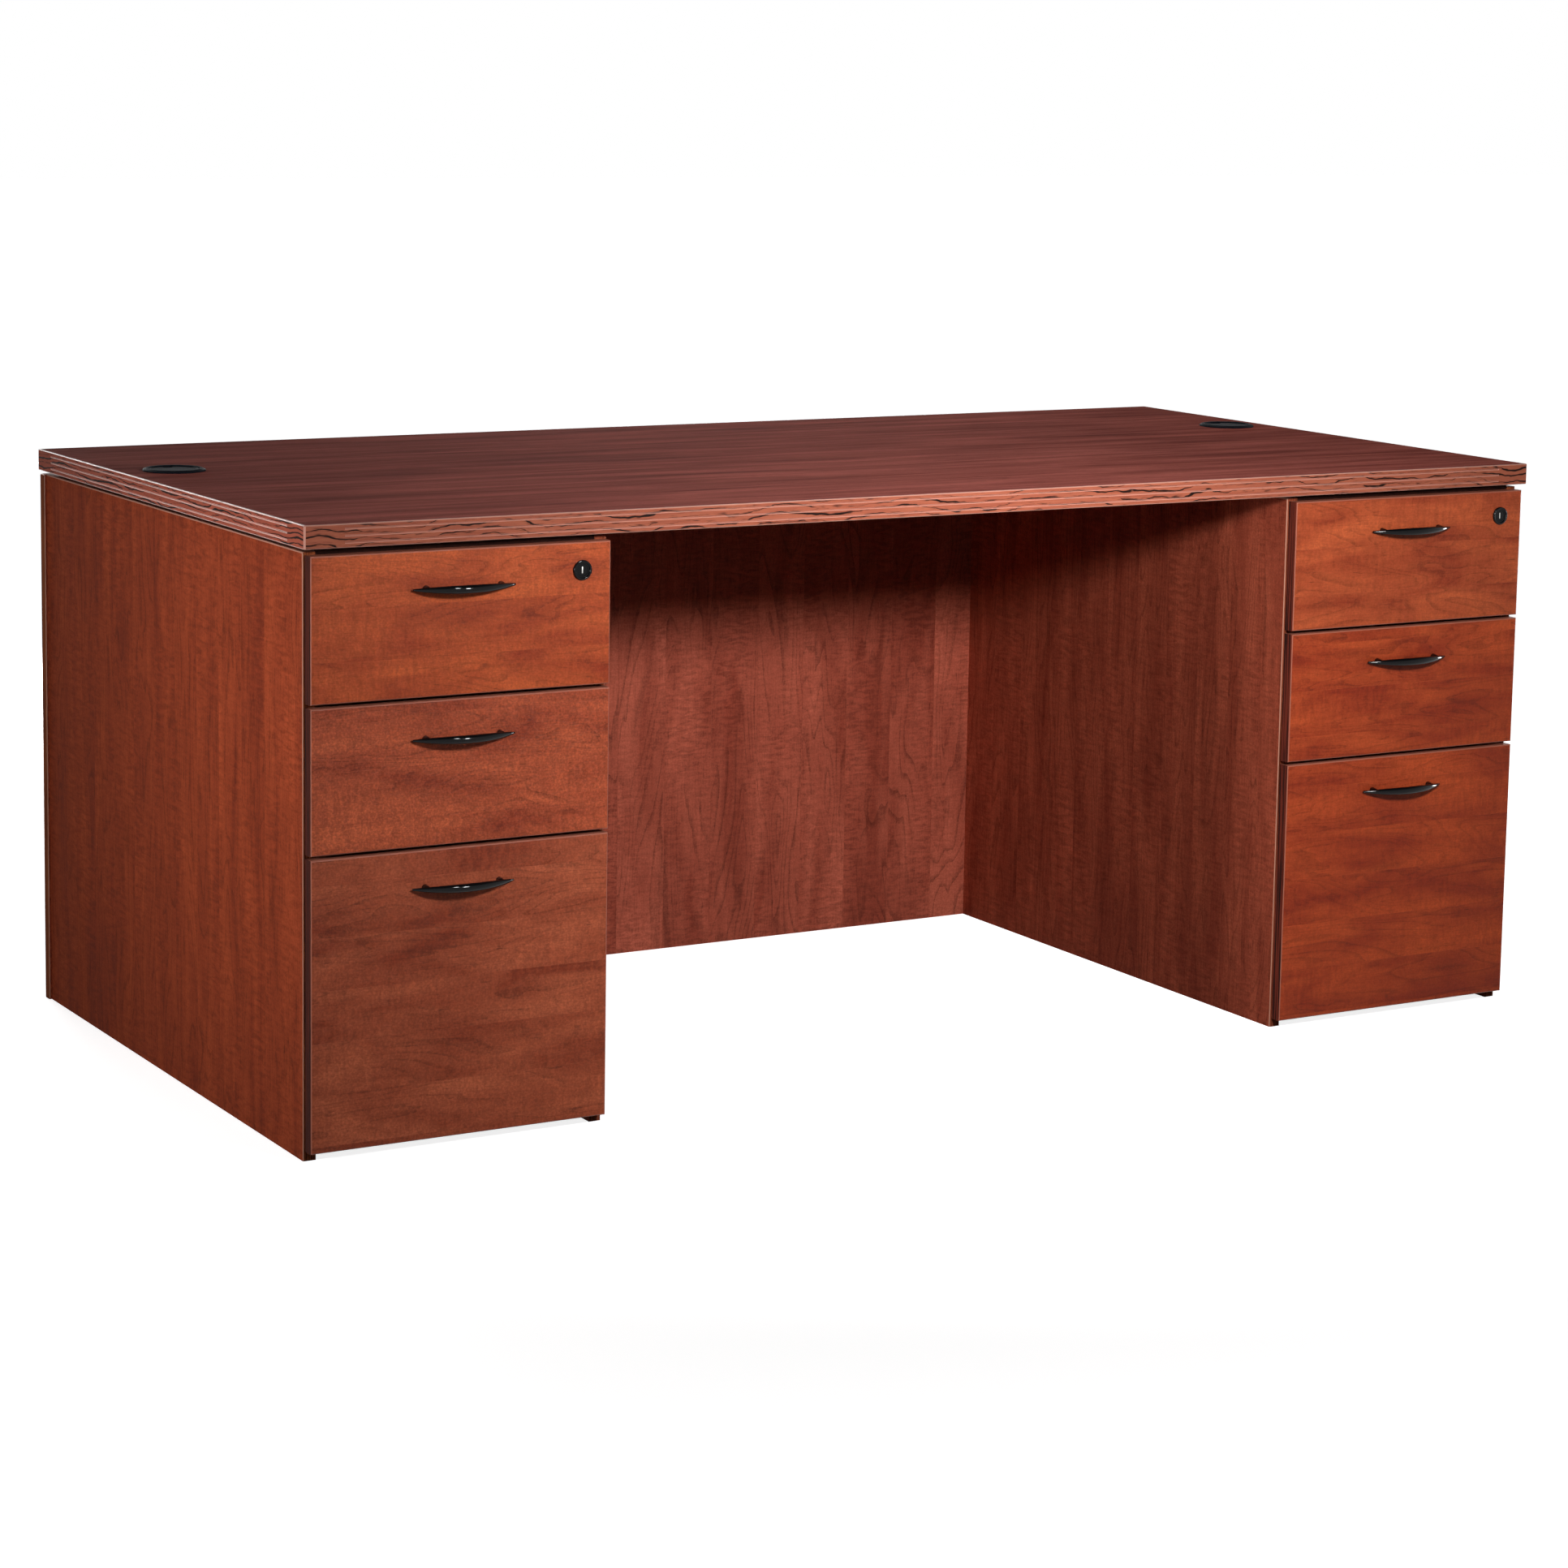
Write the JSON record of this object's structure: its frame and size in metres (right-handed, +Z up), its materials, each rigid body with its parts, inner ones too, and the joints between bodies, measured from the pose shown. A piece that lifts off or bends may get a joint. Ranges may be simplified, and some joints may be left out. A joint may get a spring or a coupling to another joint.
{
  "type": "pedestal desk",
  "caption": "Double-pedestal office desk with box and file drawers on telescopic slides, fluted-edge top, cable grommets, cam locks and a recessed modesty panel.",
  "frame": {"origin": "on the floor, under the middle of the desk's box with the pulls included", "axes": "+X along the desk to the sitter's right, +Y away from the sitter to the visitor's side, +Z up"},
  "size_m": [1.803, 0.9276, 0.7525],
  "materials": {
    "laminate_top": "dark cherry laminate, satin",
    "edge_band": "wood-grained edge band with flutes, satin",
    "laminate_panel": "cherry laminate, satin",
    "laminate_front": "figured cherry laminate, satin",
    "drawer_board": "laminated board, matt",
    "hardboard": "hardboard, matt",
    "slide_steel": "zinc-plated steel",
    "pull_black": "gloss black",
    "lock_black": "gloss black plated",
    "grommet_plastic": "moulded black plastic"
  },
  "bodies": {
    "carcass": {"edge_bands_long": "edge_band", "edge_bands_short": "edge_band", "desktop": "laminate_top", "grommet_liners": "grommet_plastic", "left_end_panel": "laminate_panel", "left_inner_panel": "laminate_panel", "right_end_panel": "laminate_panel", "right_inner_panel": "laminate_panel", "pedestal_backs": "laminate_panel", "pedestal_floors": "laminate_panel", "top_rails": "laminate_panel", "modesty_panel": "laminate_panel", "cabinet_rails": "slide_steel"},
    "left_upper_drawer": {"left_lock_barrel": "lock_black", "left_upper_drawer_front": "laminate_front", "left_upper_drawer_walls": "drawer_board", "left_upper_drawer_bottom": "hardboard", "left_upper_drawer_pull": "pull_black", "left_upper_drawer_runners": "slide_steel"},
    "left_upper_telescope": {"left_upper_telescope_rails": "slide_steel"},
    "left_middle_drawer": {"left_middle_drawer_front": "laminate_front", "left_middle_drawer_walls": "drawer_board", "left_middle_drawer_bottom": "hardboard", "left_middle_drawer_pull": "pull_black", "left_middle_drawer_runners": "slide_steel"},
    "left_middle_telescope": {"left_middle_telescope_rails": "slide_steel"},
    "left_file_drawer": {"left_file_drawer_front": "laminate_front", "left_file_drawer_walls": "drawer_board", "left_file_drawer_bottom": "hardboard", "left_file_drawer_pull": "pull_black", "left_file_hanging_rails": "slide_steel", "left_file_drawer_runners": "slide_steel"},
    "left_file_telescope": {"left_file_telescope_rails": "slide_steel"},
    "left_lock": {"left_lock_plug": "lock_black", "left_lock_cam": "slide_steel"},
    "left_cap": {"left_grommet_cap": "grommet_plastic"},
    "right_upper_drawer": {"right_lock_barrel": "lock_black", "right_upper_drawer_front": "laminate_front", "right_upper_drawer_walls": "drawer_board", "right_upper_drawer_bottom": "hardboard", "right_upper_drawer_pull": "pull_black", "right_upper_drawer_runners": "slide_steel"},
    "right_upper_telescope": {"right_upper_telescope_rails": "slide_steel"},
    "right_middle_drawer": {"right_middle_drawer_front": "laminate_front", "right_middle_drawer_walls": "drawer_board", "right_middle_drawer_bottom": "hardboard", "right_middle_drawer_pull": "pull_black", "right_middle_drawer_runners": "slide_steel"},
    "right_middle_telescope": {"right_middle_telescope_rails": "slide_steel"},
    "right_file_drawer": {"right_file_drawer_front": "laminate_front", "right_file_drawer_walls": "drawer_board", "right_file_drawer_bottom": "hardboard", "right_file_drawer_pull": "pull_black", "right_file_hanging_rails": "slide_steel", "right_file_drawer_runners": "slide_steel"},
    "right_file_telescope": {"right_file_telescope_rails": "slide_steel"},
    "right_lock": {"right_lock_plug": "lock_black", "right_lock_cam": "slide_steel"},
    "right_cap": {"right_grommet_cap": "grommet_plastic"}
  },
  "joints": [
    {"name": "left_upper_slide", "type": "slide", "parent": "carcass", "child": "left_upper_drawer", "axis": [0, -1, 0], "range_m": [0, 0.46]},
    {"name": "left_upper_telescope", "type": "slide", "parent": "carcass", "child": "left_upper_telescope", "axis": [0, -1, 0], "range_m": [0, 0.23]},
    {"name": "left_lock_turn", "type": "hinge", "parent": "left_upper_drawer", "child": "left_lock", "pos_m": [-0.547, -0.43775, 0.6795], "axis": [0, 1, 0], "range_deg": [0, 90]},
    {"name": "left_middle_slide", "type": "slide", "parent": "carcass", "child": "left_middle_drawer", "axis": [0, -1, 0], "range_m": [0, 0.46]},
    {"name": "left_middle_telescope", "type": "slide", "parent": "carcass", "child": "left_middle_telescope", "axis": [0, -1, 0], "range_m": [0, 0.23]},
    {"name": "left_file_slide", "type": "slide", "parent": "carcass", "child": "left_file_drawer", "axis": [0, -1, 0], "range_m": [0, 0.46]},
    {"name": "left_file_telescope", "type": "slide", "parent": "carcass", "child": "left_file_telescope", "axis": [0, -1, 0], "range_m": [0, 0.23]},
    {"name": "right_upper_slide", "type": "slide", "parent": "carcass", "child": "right_upper_drawer", "axis": [0, -1, 0], "range_m": [0, 0.46]},
    {"name": "right_upper_telescope", "type": "slide", "parent": "carcass", "child": "right_upper_telescope", "axis": [0, -1, 0], "range_m": [0, 0.23]},
    {"name": "right_lock_turn", "type": "hinge", "parent": "right_upper_drawer", "child": "right_lock", "pos_m": [0.856, -0.43775, 0.6795], "axis": [0, 1, 0], "range_deg": [0, 90]},
    {"name": "right_middle_slide", "type": "slide", "parent": "carcass", "child": "right_middle_drawer", "axis": [0, -1, 0], "range_m": [0, 0.46]},
    {"name": "right_middle_telescope", "type": "slide", "parent": "carcass", "child": "right_middle_telescope", "axis": [0, -1, 0], "range_m": [0, 0.23]},
    {"name": "right_file_slide", "type": "slide", "parent": "carcass", "child": "right_file_drawer", "axis": [0, -1, 0], "range_m": [0, 0.46]},
    {"name": "right_file_telescope", "type": "slide", "parent": "carcass", "child": "right_file_telescope", "axis": [0, -1, 0], "range_m": [0, 0.23]},
    {"name": "left_cap_lift", "type": "slide", "parent": "carcass", "child": "left_cap", "axis": [0, 0, 1], "range_m": [0, 0.03]},
    {"name": "right_cap_lift", "type": "slide", "parent": "carcass", "child": "right_cap", "axis": [0, 0, 1], "range_m": [0, 0.03]}
  ],
  "couplings": [
    {"joint": "left_upper_telescope", "follows": "left_upper_slide", "ratio": 0.5},
    {"joint": "left_middle_telescope", "follows": "left_middle_slide", "ratio": 0.5},
    {"joint": "left_file_telescope", "follows": "left_file_slide", "ratio": 0.5},
    {"joint": "right_upper_telescope", "follows": "right_upper_slide", "ratio": 0.5},
    {"joint": "right_middle_telescope", "follows": "right_middle_slide", "ratio": 0.5},
    {"joint": "right_file_telescope", "follows": "right_file_slide", "ratio": 0.5}
  ]
}
